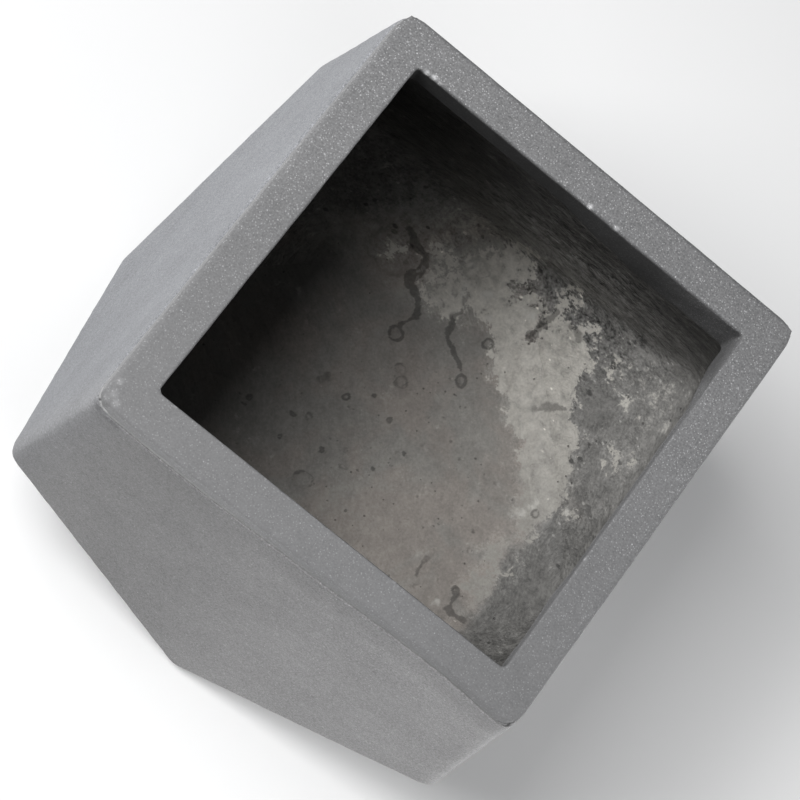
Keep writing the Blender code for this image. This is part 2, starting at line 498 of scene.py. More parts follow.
def round_mouth(points):
    """Rounds the mouth's four upright corners."""
    moved = points.copy()
    centre = OPENING_HALF - MOUTH_ROUND
    beyond = np.abs(points[:, :2]) - centre
    reach = np.linalg.norm(beyond, axis=1)
    in_corner = (beyond.min(axis=1) > 0) & (beyond.max(axis=1) < MOUTH_ROUND + RIM_VOXEL / 2)
    pulled = in_corner & (reach > MOUTH_ROUND)
    shorter = beyond[pulled] * (MOUTH_ROUND / reach[pulled])[:, None]
    moved[pulled, :2] = np.sign(points[pulled, :2]) * (centre + shorter)
    return moved


def chipped_edges(points):
    """Small bites out of the rim's top edges, at seeded places."""
    rng = np.random.default_rng(5)
    middle = np.array([0.0, 0.0, HEIGHT - 0.02])
    for _ in range(CHIP_COUNT):
        reach = RIM_HALF if rng.random() < 0.7 else OPENING_HALF
        along = rng.uniform(-reach, reach)
        side = rng.choice((-reach, reach))
        spot = (along, side, HEIGHT) if rng.random() < 0.5 else (side, along, HEIGHT)
        radius = rng.uniform(0.0012, 0.0034)
        depth = radius * rng.uniform(0.12, 0.30)
        near = np.linalg.norm(points - np.array(spot), axis=1)
        bite = depth * ramp(near, radius, 0)
        inward = 1 if reach == RIM_HALF else -1
        pull = (middle - points) * np.array([inward, inward, 1])
        pull /= np.linalg.norm(pull, axis=1)[:, None]
        points = points + pull * bite[:, None]
    return points


def mortar_bead(material):
    """The rough dark joint between the rim and the coats."""
    bead_low, bead_high = (corner[2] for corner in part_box("rim_joint_bead"))
    mesh = remeshed(node_mesh("rim_joint_bead"), BEAD_VOXEL, 1)
    points, normals = read_points(mesh), read_normals(mesh)
    rough = 0.0003 * cloud(points, 0.012, 41, 3) + 0.0002 * noise(points, 0.003, 47)
    side = 1 - np.abs(normals[:, 2])
    points += normals * (rough * side)[:, None]
    outer = np.max(np.abs(points[:, :2]), axis=1) > RIM_HALF - 0.004  # the bead's outer face
    points[outer, :2] *= 1 + BEAD_PUSH / RIM_HALF
    beyond = np.maximum(np.abs(points[:, :2]) - (RIM_HALF + BEAD_PUSH - BEAD_ROUND), 0)
    reach = np.maximum(np.linalg.norm(beyond, axis=1), BEAD_ROUND)
    points[:, :2] -= np.sign(points[:, :2]) * beyond * (1 - BEAD_ROUND / reach)[:, None]
    middle = (bead_low + bead_high) / 2
    points[:, 2] = middle + (points[:, 2] - middle) * BEAD_SWELL
    write_points(mesh, points)
    finish_piece("mortar_bead", mesh, "mortar", material, "rim_joint_bead")


# ---------------------------------------------------------------- marks inside the hollow


def diagonals_of(points):
    """Plan coordinates: out towards the right corner, and sideways towards the far one."""
    x, y, _ = points.T
    return np.stack([x + y, y - x], axis=1) / DIAGONAL


def plan_of(points):
    """Plan coordinates, with the right corner's facet folded flat beside the floor."""
    plan = diagonals_of(points)
    plan[:, 0] += np.maximum(plan[:, 0] - CREASE_OUT, 0) * (1 / math.cos(FACET_SLOPE) - 1)
    return plan


def warped(plan, reach, size, seed):
    """Plan points pushed about by noise, so that what is drawn from them wavers."""
    flat = np.column_stack([plan, np.zeros(len(plan))])
    push = np.stack([cloud(flat, size, seed), cloud(flat, size, seed + 20)], axis=1)
    return plan + reach * push


def rounded(run, closed=False):
    """A line with its corners cut twice, so that it bends smoothly."""
    line = np.array(run)
    for _ in range(2):
        starts = line if closed else line[:-1]
        ends = np.roll(line, -1, axis=0) if closed else line[1:]
        cut = np.stack([0.75 * starts + 0.25 * ends, 0.25 * starts + 0.75 * ends], axis=1).reshape(-1, 2)
        line = cut if closed else np.vstack([line[:1], cut, line[-1:]])
    return line


def distance_to_run(plan, run):
    """Distance from each point to a line through a few points."""
    nearest = np.full(len(plan), 1.0)
    for start, end in zip(run, run[1:]):
        step = end - start
        share = np.clip((plan - start) @ step / (step @ step), 0, 1)
        nearest = np.minimum(nearest, np.linalg.norm(plan - start - share[:, None] * step, axis=1))
    return nearest


def depth_inside(plan, outline):
    """Distance from a closed outline, positive inside it."""
    inside = np.zeros(len(plan), bool)
    for start, end in zip(outline, np.roll(outline, -1, axis=0)):
        spans = (start[1] > plan[:, 1]) != (end[1] > plan[:, 1])
        crossing = start[0] + (plan[:, 1] - start[1]) * (end[0] - start[0]) / (end[1] - start[1] + 1e-12)
        inside ^= spans & (plan[:, 0] < crossing)
    distance = distance_to_run(plan, np.vstack([outline, outline[:1]]))
    return np.where(inside, distance, -distance)


def distance_to(plan, centre):
    """Distance in plan from each point to one place."""
    return np.hypot(plan[:, 0] - centre[0], plan[:, 1] - centre[1])


def ring_distance(plan, centre, radius):
    return np.abs(distance_to(plan, centre) - radius)


def dab(plan, centre, radius, outer, inner):
    """A soft round spot: 0 from `outer` radii and 1 within `inner` radii."""
    return ramp(distance_to(plan, centre), radius * outer, radius * inner)


# Runs of thin slurry that dried on the floor: half width, how dark, then points (out, side)
SLURRY_RUNS = (
    (0.0042, 1.0, ((0.084, 0.184), (0.087, 0.168), (0.098, 0.160), (0.096, 0.150), (0.084, 0.144),
                   (0.078, 0.138))),
    (0.0026, 1.0, ((0.078, 0.142), (0.083, 0.126), (0.082, 0.107), (0.075, 0.102), (0.064, 0.097))),
    (0.0034, 0.7, ((0.122, 0.105), (0.114, 0.098), (0.108, 0.088))),
    (0.0022, 0.9, ((0.109, 0.092), (0.104, 0.079), (0.110, 0.070), (0.115, 0.057), (0.114, 0.046))),
    (0.0036, 0.8, ((0.080, -0.151), (0.073, -0.156), (0.072, -0.166), (0.080, -0.174))),
    (0.0036, 0.8, ((0.187, 0.077), (0.196, 0.080), (0.203, 0.087), (0.216, 0.091))),
    (0.0036, 0.6, ((0.178, 0.008), (0.188, 0.006), (0.200, 0.007), (0.208, 0.003))),
    (0.0040, 0.5, ((-0.018, 0.056), (-0.012, 0.057))),
    (0.0018, 0.6, ((0.046, -0.130), (0.050, -0.124), (0.060, -0.116))),
    (0.0030, 0.6, ((0.228, 0.076), (0.234, 0.070), (0.233, 0.062))),
)
# Air bubbles that burst in the screed: (out, side), radius, how dark the ring is
BUBBLES = (
    ((0.058, 0.090), 0.0068, 1.0), ((0.113, 0.041), 0.0046, 1.0), ((0.144, 0.073), 0.0056, 0.9),
    ((0.058, 0.057), 0.0046, 0.5), ((0.057, 0.045), 0.0056, 0.6), ((0.186, 0.076), 0.0042, 1.0),
    ((0.003, 0.037), 0.0030, 0.8), ((-0.047, -0.034), 0.0080, 0.5), ((0.080, -0.148), 0.0036, 0.9),
    ((0.166, -0.088), 0.0034, 0.7), ((0.030, 0.035), 0.0012, 0.9), ((0.041, 0.011), 0.0020, 0.6),
    ((-0.025, -0.009), 0.0016, 1.0), ((0.051, -0.021), 0.0014, 1.0), ((0.020, -0.030), 0.0012, 0.9),
    ((-0.086, 0.046), 0.0020, 0.6), ((-0.034, 0.022), 0.0026, 0.5), ((-0.048, 0.027), 0.0018, 0.6),
    ((-0.003, -0.012), 0.0020, 0.4), ((-0.008, -0.026), 0.0026, 0.4), ((0.118, 0.122), 0.0022, 0.5),
    ((-0.062, 0.008), 0.0016, 0.7),
)
# Blobs with a darker edge: (out, side), radius
BLOBS = (((0.064, 0.166), 0.021), ((0.143, 0.143), 0.011), ((0.137, 0.153), 0.008))
# The pale film's outline across the right corner's crease: (out, side)
FILM_OUTLINE = (
    (0.112, 0.160), (0.124, 0.150), (0.136, 0.151), (0.150, 0.160), (0.164, 0.160), (0.178, 0.148),
    (0.182, 0.132), (0.174, 0.122), (0.176, 0.114), (0.196, 0.112), (0.208, 0.100), (0.206, 0.087),
    (0.190, 0.083), (0.176, 0.074), (0.190, 0.070), (0.204, 0.082), (0.226, 0.084), (0.236, 0.070),
    (0.243, 0.050), (0.244, 0.036), (0.230, 0.026), (0.218, 0.010), (0.214, -0.012), (0.220, -0.032),
    (0.204, -0.042), (0.203, -0.062), (0.198, -0.082), (0.214, -0.102), (0.192, -0.098), (0.172, -0.094),
    (0.156, -0.104), (0.145, -0.094), (0.146, -0.078), (0.160, -0.064), (0.161, -0.022), (0.150, -0.006),
    (0.153, 0.010), (0.157, 0.022), (0.146, 0.032), (0.138, 0.046), (0.148, 0.062), (0.150, 0.080),
    (0.146, 0.094), (0.132, 0.106), (0.126, 0.122), (0.132, 0.134),
)
# Separate patches of film: (out, side), radius, how thick
FILM_PATCHES = (
    ((0.132, -0.128), 0.030, 0.62), ((0.104, -0.150), 0.026, 0.66), ((0.158, -0.112), 0.022, 0.60),
    ((0.108, 0.150), 0.030, 0.50), ((0.266, 0.030), 0.022, 0.50), ((0.250, 0.068), 0.016, 0.50),
    ((0.290, -0.004), 0.040, 0.38), ((0.256, -0.050), 0.030, 0.40), ((0.196, 0.150), 0.020, 0.50),
    ((0.066, 0.166), 0.020, 0.45), ((0.112, 0.120), 0.028, 0.68), ((0.146, 0.138), 0.032, 0.76),
    ((0.178, 0.140), 0.032, 0.72), ((0.226, 0.100), 0.024, 0.55),
)
# Places where the film is thicker and whiter: (out, side), radius
WHITE_SPOTS = (
    ((0.193, 0.098), 0.013), ((0.153, 0.117), 0.009), ((0.151, 0.099), 0.006), ((0.130, 0.125), 0.008),
    ((0.152, -0.087), 0.010), ((0.165, -0.082), 0.008), ((0.203, -0.070), 0.007), ((0.140, 0.146), 0.010),
    ((0.196, -0.088), 0.008), ((0.060, -0.158), 0.006), ((0.156, 0.060), 0.005), ((0.248, 0.072), 0.004),
)


def climb_of(points):
    """How far each point is above the floor and the right corner's facet."""
    beyond = np.maximum(diagonals_of(points)[:, 0] - CREASE_OUT, 0)
    return points[:, 2] - FLOOR_TOP - beyond * math.tan(FACET_SLOPE)


def film_field(points):
    """How likely pale film is, from 0 to 1: a half is the edge of its outline."""
    plan = warped(plan_of(points), 0.0035, 0.022, 83)
    film = np.clip(0.5 + depth_inside(plan, rounded(FILM_OUTLINE, closed=True)) / 0.030, 0, 1)
    for centre, radius, thick in FILM_PATCHES:
        film = np.maximum(film, thick * dab(plan, centre, radius, 1.3, 0.3))
    film *= ramp(climb_of(points), 0.060, 0.012)
    film *= 1 - 0.60 * coat_foot(points)
    return film


def low_down(points):
    """1 on the floor and the right corner's facet, and 0 well above them."""
    return ramp(climb_of(points), 0.034, 0.006)


def white_field(points):
    """How white the film is, from 0 to 0.7."""
    plan = warped(plan_of(points), 0.006, 0.012, 89)
    white = np.zeros(len(points))
    for centre, radius in WHITE_SPOTS:
        white = np.maximum(white, dab(plan, centre, radius, 1.3, 0))
    return 0.7 * white * low_down(points)


COAT_COVER = 0.75  # how well the brushed coat hides the floor that it reaches out over


def coat_foot(points):
    """Where the dark brushed coat of the +x wall reaches over the floor and the facet, 0 to COAT_COVER."""
    waver = 0.012 * cloud(points, 0.030, 97, 4)
    reached = ramp(points[:, 0] + waver, 0.178, 0.194)  # the +x wall's foot
    return COAT_COVER * reached * ramp(points[:, 1], 0.115, 0.060)


def tone_and_painted_light_field(points):
    """How light the bare cement is: 1 on the floor, less on the right facet, least high on the walls, with
    painted shade towards -x and on the left corner's facet, and painted light on the floor away from the
    right corner.
    """
    x, y, z = points.T
    out = plan_of(points)[:, 0]
    low = 1 - 0.30 * ramp(out, CREASE_OUT - 0.006, CREASE_OUT + 0.040)
    # Painted shade on the left corner's facet.
    low *= 1 - 0.40 * ramp(-out, 0.158, 0.190)
    low *= 1 + 0.10 * cloud(points, 0.045, 101, 2)
    # Painted light on the floor away from the right corner.
    low *= 1 + 0.25 * ramp(out, 0.09, 0.0)
    low *= 1 + 0.50 * ramp(y, 0.12, 0.15) * ramp(x, 0.04, -0.04)
    wall = 0.28 + 0.72 * ramp(z, 0.25, 0.05) + 0.05 * cloud(points, 0.050, 103, 2)
    wall = wall + (0.50 - wall) * ramp(x - y, 0.0, 0.10)
    covered = np.maximum(coat_foot(points), ramp(climb_of(points), 0.012, 0.034))
    tone_and_shade = low * (1 - covered) + wall * covered
    # Painted shadow of the -x wall: darker towards -x.
    return tone_and_shade * (0.45 + 0.55 * ramp(x, -0.14, 0.05))


def stains(plan):
    """How dark the dried runs and the bubbles' rims are, from 0 to 1."""
    dark = np.zeros(len(plan))
    plan = warped(warped(plan, 0.0020, 0.011, 107), 0.0010, 0.0045, 137)
    flat = np.column_stack([plan, np.zeros(len(plan))])
    swell = np.clip(1 + 1.1 * cloud(flat, 0.008, 127, 3), 0.35, 1.6)
    for half_width, darkness, run in SLURRY_RUNS:
        away = distance_to_run(plan, rounded(run)) / swell
        dark = np.maximum(dark, darkness * ramp(away, half_width * 1.4, half_width * 0.5))
    for centre, radius, darkness in BUBBLES:
        dark = np.maximum(dark, darkness * ramp(ring_distance(plan, centre, radius), 0.0019, 0.0004))
        dark = np.maximum(dark, 0.35 * darkness * dab(plan, centre, radius, 1.05, 0.8))
    shaken = warped(plan, 0.006, 0.020, 131)
    for centre, radius in BLOBS:
        away = ring_distance(shaken, centre, radius) / swell
        dark = np.maximum(dark, 0.40 * ramp(away, 0.0050, 0.0005))
    rng = np.random.default_rng(12)
    for _ in range(SPECK_COUNT):
        centre = (rng.uniform(-0.11, 0.13), rng.uniform(-0.10, 0.06))
        radius = rng.uniform(0.0009, 0.0026)
        dark = np.maximum(dark, rng.uniform(0.35, 0.75) * dab(plan, centre, radius, 1, 0.3))
    return dark


def floor_relief(points):
    """Height of the floor's marks: ridges where slurry ran, raised rings, burst bubbles and pits."""
    plan = warped(plan_of(points), 0.0020, 0.011, 107)
    height = 0.00045 * cloud(points, 0.060, 53) + 0.00014 * cloud(points, 0.010, 59, 2)
    for half_width, _, run in SLURRY_RUNS:
        away = distance_to_run(plan, rounded(run))
        height += 0.0003 * ramp(away, half_width * 1.6, half_width * 0.4)
    for centre, radius, _ in BUBBLES:
        height += 0.0008 * np.exp(-((ring_distance(plan, centre, radius) / 0.0011) ** 2))
        height -= 0.0006 * dab(plan, centre, radius, 1, 0.3)
    rng = np.random.default_rng(8)
    for _ in range(PIT_COUNT):
        centre = rng.uniform(-0.17, 0.17, 2)
        radius = rng.choice((0.0012, 0.0018, 0.0026))
        height -= 0.5 * radius * dab(plan, centre, radius, 1, 0)
    return height


def floor_skin(material):
    """The poured floor, finely divided on top."""
    spare = 0.01  # how far the block runs past the floor before it is cut to the CAD's outline
    reach = FLOOR_HIGH[0] + spare
    cells = int(2 * reach / FLOOR_STEP)
    bm = bmesh.new()
    bmesh.ops.create_grid(bm, x_segments=cells, y_segments=cells, size=reach)
    for vert in bm.verts:
        vert.co.z = FLOOR_TOP - 0.00002
    rim = [edge for edge in bm.edges if edge.is_boundary]
    pulled = bmesh.ops.extrude_edge_only(bm, edges=rim)["geom"]
    below = [item for item in pulled if isinstance(item, bmesh.types.BMVert)]
    for vert in below:
        vert.co.z = FLOOR_LOW[2] - spare
    bmesh.ops.contextual_create(bm, geom=[edge for edge in bm.edges if edge.is_boundary])
    bmesh.ops.recalc_face_normals(bm, faces=bm.faces)
    mesh = combined(mesh_from(bm), node_mesh("floor_screed"), "INTERSECT")
    points = read_points(mesh)
    top = points[:, 2] > FLOOR_TOP - 0.0002
    points[top, 2] += floor_relief(points[top]) - 0.0002
    write_points(mesh, points)
    write_marks(mesh)
    finish_piece("floor_skin", mesh, "screed", material, "floor_screed")


SWEEP_CENTRE = (-0.34, 0.05)  # middle of the float's sweeps over the floor (out, side)


def swept_place(points):
    """Where each point of the floor lies along and across the float's sweeps."""
    out, side = (diagonals_of(points) - np.array(SWEEP_CENTRE)).T
    radius = np.hypot(out, side)
    return np.stack([radius * np.arctan2(side, out), radius, np.zeros(len(points))], axis=1)


def write_marks(mesh):
    """The fields that the materials of the hollow read."""
    points = read_points(mesh)
    write_field(mesh, "film", film_field(points))
    write_field(mesh, "white", white_field(points))
    write_field(mesh, "tone_and_shade", tone_and_painted_light_field(points))
    write_field(mesh, "stain", stains(plan_of(points)) * low_down(points))
    write_field(mesh, "coat", coat_foot(points) / COAT_COVER)
    write_field(mesh, "swept", swept_place(points))


def brushed_relief(points):
    """Strokes, lumps and pits on the hollow's walls; positive is deeper into the wall."""
    beside_y = ramp(np.abs(points[:, 1]) - np.abs(points[:, 0]), -0.03, 0.03)
    relief = 0.0007 * cloud(points, 0.045, 67, 3) + 0.0004 * cloud(points, 0.014, 109, 2)
    for share, stretch in ((beside_y, (0.3, 1, 1)), (1 - beside_y, (1, 0.3, 1))):
        strokes = 0.00060 * cloud(points * np.array(stretch), 0.012, 61, 2)
        strokes += 0.0014 * ramp(noise(points * np.array(stretch), 0.0085, 71), 0.45, 0.9)
        relief += strokes * share
    return relief


def with_plain_bottom(mesh, bottom):
    """The mesh with the flat part of its bottom, which the floor covers, as one face."""
    bm = bmesh.new()
    bm.from_mesh(mesh)
    low = [face for face in bm.faces if all(vert.co.z < bottom + 0.0004 for vert in face.verts)]
    bmesh.ops.dissolve_faces(bm, faces=low)
    bmesh.ops.triangulate(bm, faces=[face for face in bm.faces if len(face.verts) > 4])
    return mesh_from(bm)


def backing_skin(material):
    """The inner coat: a plain outer face, and a brushed inner one."""
    hollow = hollow_points()
    bottom = hollow[:, 2].min()
    block = softened_block(hollow, HOLLOW_VOXEL, 2, HOLLOW_INSET)
    relax(block, HOLLOW_SOFTENING)
    points, normals = read_points(block), read_normals(block)
    above_floor = ramp(points[:, 2], bottom + 0.002, FLOOR_TOP - 0.001)
    points += normals * (brushed_relief(points) * above_floor)[:, None]
    write_points(block, points)
    block = with_plain_bottom(block, bottom)
    outside = softened_block(node_points("fibre_backing"), CORE_VOXEL, 1)
    outside = combined(outside, space_above(FACE_TOP), "DIFFERENCE")
    mesh = combined(outside, block, "DIFFERENCE")
    write_marks(mesh)
    finish_piece("backing_skin", mesh, "brushed_coat", material, "fibre_backing")


def cove_face(number):
    """The hollow face of one cove, as rows of points up from the floor, and the way out from the middle."""
    tangents = np.linspace(-COVE_HALF, COVE_HALF, int(2 * COVE_HALF / COVE_STEP) + 1)
    zeros = np.zeros_like(tangents)
    waver = cloud(np.stack([tangents, zeros + number, zeros], axis=1), 0.03, 73)
    taper = ramp(0.158 - np.abs(tangents), 0, 0.05)
    legs = (0.0165 + 0.0035 * waver) * (0.35 + 0.65 * taper)
    radius = legs * math.tan((math.pi - FACET_SLOPE) / 2)
    angles = np.linspace(0, FACET_SLOPE, COVE_STEPS_ACROSS + 1)
    out = CREASE_OUT - legs[:, None] + radius[:, None] * np.sin(angles)
    up = FLOOR_TOP + radius[:, None] * (1 - np.cos(angles))
    up[:, [0, -1]] -= 0.0012  # both edges are sunk into what they lie on
    turn = math.radians(45 + 90 * number)
    outward = np.array([math.cos(turn), math.sin(turn), 0])
    sideways = np.array([-math.sin(turn), math.cos(turn), 0])
    face = outward * out[..., None] + sideways * tangents[:, None, None]
    face[..., 2] += up
    lumps = 0.00035 * cloud(face.reshape(-1, 3), 0.012, 79, 3).reshape(up.shape)
    face[..., 2] += lumps * np.sin(np.pi * np.linspace(0, 1, COVE_STEPS_ACROSS + 1))
    return face, outward


def cove_skin(number, material):
    """Mortar packed into the crease between the floor and one corner facet: a closed strip."""
    face, outward = cove_face(number)
    under = face - np.array([0, 0, 0.0035]) + outward * 0.0015
    bm = bmesh.new()
    upper, lower = ([[bm.verts.new(point) for point in row] for row in side] for side in (face, under))
    rings = [above + below[::-1] for above, below in zip(upper, lower)]
    for first, second in zip(rings, rings[1:]):
        for i in range(len(first)):
            bm.faces.new((first[i - 1], second[i - 1], second[i], first[i]))
    for above, below in ((upper[0], lower[0]), (upper[-1], lower[-1])):
        for i in range(COVE_STEPS_ACROSS):
            bm.faces.new((above[i], above[i + 1], below[i + 1], below[i]))
    bmesh.ops.recalc_face_normals(bm, faces=bm.faces)
    mesh = mesh_from(bm)
    write_marks(mesh)
    finish_piece(f"cove_skin_{number}", mesh, "mortar", material, f"floor_cove_{number}")


# ---------------------------------------------------------------- materials


def new_material(name):
    material = bpy.data.materials.new(name)
    material.use_nodes = True
    return material, material.node_tree, material.node_tree.nodes["Principled BSDF"]


def node(tree, kind, values=None, **settings):
    """Adds a node; each value is a number, a colour or another node's output."""
    made = tree.nodes.new(kind)
    for name, value in settings.items():
        setattr(made, name, value)
    for name, value in (values or {}).items():
        if isinstance(value, bpy.types.NodeSocket):
            tree.links.new(value, made.inputs[name])
        else:
            made.inputs[name].default_value = value
    return made


def calc(tree, operation, first, second=0.0):
    return node(tree, "ShaderNodeMath", {0: first, 1: second}, operation=operation).outputs[0]


def between(tree, value, low, high, start=0.0, end=1.0):
    """The value mapped from one range to another, with soft ends."""
    values = {"Value": value, "From Min": low, "From Max": high, "To Min": start, "To Max": end}
    return node(tree, "ShaderNodeMapRange", values, interpolation_type="SMOOTHSTEP").outputs[0]


def blend(tree, factor, first, second, mode="MIX"):
    made = node(tree, "ShaderNodeMix", data_type="RGBA", blend_type=mode)
    for slot, value in ((0, factor), (6, first), (7, second)):
        if isinstance(value, bpy.types.NodeSocket):
            tree.links.new(value, made.inputs[slot])
        else:
            made.inputs[slot].default_value = value
    return made.outputs[2]


def grey(value, tint=(1.0, 1.0, 1.0)):
    """A grey of one brightness, tinted by a factor on each channel."""
    return (value * tint[0], value * tint[1], value * tint[2], 1.0)


def scaled(tree, value, gain, offset=0.0):
    """The value times a gain, plus an offset."""
    return node(tree, "ShaderNodeMath", {0: value, 1: gain, 2: offset}, operation="MULTIPLY_ADD").outputs[0]


def varied(tree, *parts, start=1.0):
    """The start, plus each value's distance from a half times its gain."""
    total = start
    for value, gain in parts:
        total = calc(tree, "ADD", scaled(tree, value, gain, -gain / 2), total)
    return total


def times(tree, first, second):
    return calc(tree, "MULTIPLY", first, second)


def lit(tree, colour, level):
    """The colour times a level."""
    return blend(tree, 1.0, colour, level, "MULTIPLY")


def marked(tree, colour, where, share, level):
    """The colour, turned towards `level` times itself by a share of `where`."""
    return blend(tree, times(tree, where, share), colour, lit(tree, colour, grey(level)))


def place(tree, scale=(1, 1, 1)):
    """The point's place on the object, in metres."""
    found = node(tree, "ShaderNodeTexCoord").outputs["Object"]
    return node(tree, "ShaderNodeMapping", {"Vector": found, "Scale": scale}).outputs[0]


def axes_of(tree, vector):
    return node(tree, "ShaderNodeSeparateXYZ", {"Vector": vector}).outputs


def field(tree, name, output="Fac"):
    return node(tree, "ShaderNodeAttribute", attribute_name=name).outputs[output]


def clouds(tree, vector, scale, detail=3.0, roughness=0.55, distortion=0.0):
    values = {"Vector": vector, "Scale": scale, "Detail": detail, "Roughness": roughness}
    values["Distortion"] = distortion
    return node(tree, "ShaderNodeTexNoise", values).outputs["Fac"]


def flecks(tree, vector, scale, share, size, softness=0.8):
    """Small round specks in some of the cells of a grid, up to one size, in cells."""
    cells = node(tree, "ShaderNodeTexVoronoi", {"Vector": vector, "Scale": scale, "Randomness": 1.0})
    picked = node(tree, "ShaderNodeSeparateColor", {"Color": cells.outputs["Color"]}).outputs[0]
    radius = scaled(tree, picked, size * 0.5 / share, size * 0.5)
    ratio = calc(tree, "DIVIDE", cells.outputs["Distance"], radius)
    return times(tree, between(tree, ratio, 1.0, 1.0 - softness), calc(tree, "LESS_THAN", picked, share))


def surface(tree, shader, colour, roughness, height, depth, strength=1.0):
    """Links a material's colour, roughness and fine relief, which is `depth` metres deep."""
    relief = node(tree, "ShaderNodeBump", {"Height": height, "Distance": depth, "Strength": strength})
    for name, value in (("Base Color", colour), ("Roughness", roughness), ("Normal", relief.outputs[0])):
        tree.links.new(value, shader.inputs[name])


FAR_SHARE = 1.45


def speckled_cement(name, base, tints, grain_gain, blotch_gain, faint, bright, near_share):
    """Fine cement with pale flecks of sand, slow blotches, faint level streaks and pinholes.

    `tints` are for the -x and +y sides, bluer with painted sky light, and for the +x and -y sides. `faint`
    and
    `bright` give the share of cells that hold a fleck, and how much it lightens the cement. `near_share` says
    how strong flecks and grain are on the -y side; they grow to FAR_SHARE on the +y side.
    """
    material, tree, shader = new_material(name)
    spot = place(tree)
    blotches = clouds(tree, spot, 14, 4, 0.6)
    patches = clouds(tree, spot, 110, 4, 0.62)
    grain = clouds(tree, spot, 620, 3, 0.6)
    streaks = clouds(tree, place(tree, (0.05, 0.05, 1.0)), 75, 3, 0.6)
    level = varied(tree, (blotches, blotch_gain), (patches, blotch_gain), (streaks, 0.10))
    many = flecks(tree, spot, 480, faint[0], 0.42)
    few = flecks(tree, spot, 290, bright[0], 0.27, 0.6)
    specks = calc(tree, "ADD", scaled(tree, many, faint[1]), scaled(tree, few, bright[1]))
    specks = varied(tree, (grain, grain_gain), start=specks)
    axes = axes_of(tree, spot)
    crowd = between(tree, axes["Y"], -0.25, 0.22, near_share, FAR_SHARE)
    level = calc(tree, "ADD", level, times(tree, specks, crowd))
    pores = flecks(tree, spot, 230, 0.10, 0.14, 0.5)
    level = calc(tree, "SUBTRACT", level, scaled(tree, pores, 0.25))
    # Painted sky light: a bluer tint on the -x and +y sides.
    off_left = between(tree, calc(tree, "SUBTRACT", axes["X"], axes["Y"]), -0.06, 0.06)
    cement = blend(tree, off_left, grey(base, tints[0]), grey(base, tints[1]))
    # The tone field carries painted shade and painted light besides the cement's own tone.
    colour = lit(tree, lit(tree, cement, level), field(tree, "tone_and_shade"))
    height = calc(tree, "SUBTRACT", varied(tree, (grain, 0.5), (patches, 0.8)), pores)
    surface(tree, shader, colour, between(tree, patches, 0.2, 0.8, 0.72, 0.86), height, 0.00016, 0.7)
    return material


def mortar_material():
    """Coarse dark mortar, with painted shade that darkens it towards +x and painted light just round the near
    corner, where it lies in shade.
    """
    material, tree, shader = new_material("rough_mortar")
    spot = place(tree)
    lumps = clouds(tree, spot, 160, 5, 0.65)
    grit = clouds(tree, spot, 900, 3, 0.7)
    axes = axes_of(tree, spot)
    # Painted shade: darker towards +x.
    colour = blend(tree, between(tree, axes["X"], -0.16, 0.16), grey(0.30), grey(0.20))
    # Painted light on the filler just round the near corner, which lies in shade.
    to_near_corner = calc(tree, "SUBTRACT", axes["X"], axes["Y"])
    at_near_corner = between(tree, to_near_corner, 0.372, 0.392)
    turned = times(tree, at_near_corner, between(tree, axes["X"], 0.193, 0.200))
    colour = blend(tree, turned, colour, grey(0.25))
    colour = lit(tree, colour, varied(tree, (lumps, 0.9), (grit, 0.7)))
    roughness = between(tree, lumps, 0.2, 0.8, 0.80, 0.95)
    surface(tree, shader, colour, roughness, calc(tree, "ADD", lumps, grit), 0.0003)
    return material


# How light each cement is
FACE_GREY = 0.260
RIM_GREY = 0.161
HOLLOW_GREY = 0.265
PALE_GAIN = 1.68  # how much lighter the film is than the bare cement
WHITE_GAIN = 2.3  # and its whiter spots


def lines_at(tree, vector):
    """Coarse and fine lines, long along the direction in which the vector is squeezed."""
    coarse = scaled(tree, clouds(tree, vector, 140, 4, 0.65), 0.55)
    both = calc(tree, "ADD", coarse, scaled(tree, clouds(tree, vector, 480, 3, 0.6), 0.45))
    return between(tree, both, 0.38, 0.62)


def swept_lines(tree):
    """Faint lines left by the float, in arcs over the floor."""
    values = {"Vector": field(tree, "swept", "Vector"), "Scale": (0.14, 1.0, 1.0)}
    return lines_at(tree, node(tree, "ShaderNodeMapping", values).outputs[0])


def brushed_lines(tree):
    """Brush strokes that run level beside the nearest wall."""
    axes = axes_of(tree, place(tree))
    from_x, from_y = (calc(tree, "ABSOLUTE", axes[name]) for name in "XY")
    nearer_y = calc(tree, "SUBTRACT", from_y, from_x)
    beside_y = between(tree, nearer_y, -0.03, 0.03)
    along_x = times(tree, lines_at(tree, place(tree, (0.36, 1.0, 1.0))), beside_y)
    beside_x = scaled(tree, beside_y, -1.0, 1.0)
    along_y = times(tree, lines_at(tree, place(tree, (1.0, 0.36, 1.0))), beside_x)
    return calc(tree, "ADD", along_x, along_y)


def hollow_patterns(tree, made_lines):
    """The strokes, patches and grain that the looks of the hollow are made from."""
    spot = place(tree)
    axes = axes_of(tree, spot)
    found = SimpleNamespace(spot=spot, axes=axes, brushed=made_lines is brushed_lines)
    found.across = calc(tree, "SUBTRACT", axes["Y"], axes["X"])
    found.blotches = clouds(tree, spot, 20, 5, 0.6)
    found.mottles = clouds(tree, spot, 85, 5, 0.62, 0.4)
    found.ragged = clouds(tree, spot, 55, 7, 0.68, 0.6)
    found.grain = clouds(tree, spot, 420, 3, 0.65)
    coated = between(tree, field(tree, "tone_and_shade"), 0.85, 0.45, 0.35, 1.0)
    found.lines = scaled(tree, times(tree, scaled(tree, made_lines(tree), 1.0, -0.5), coated), 1.0, 0.5)
    return found


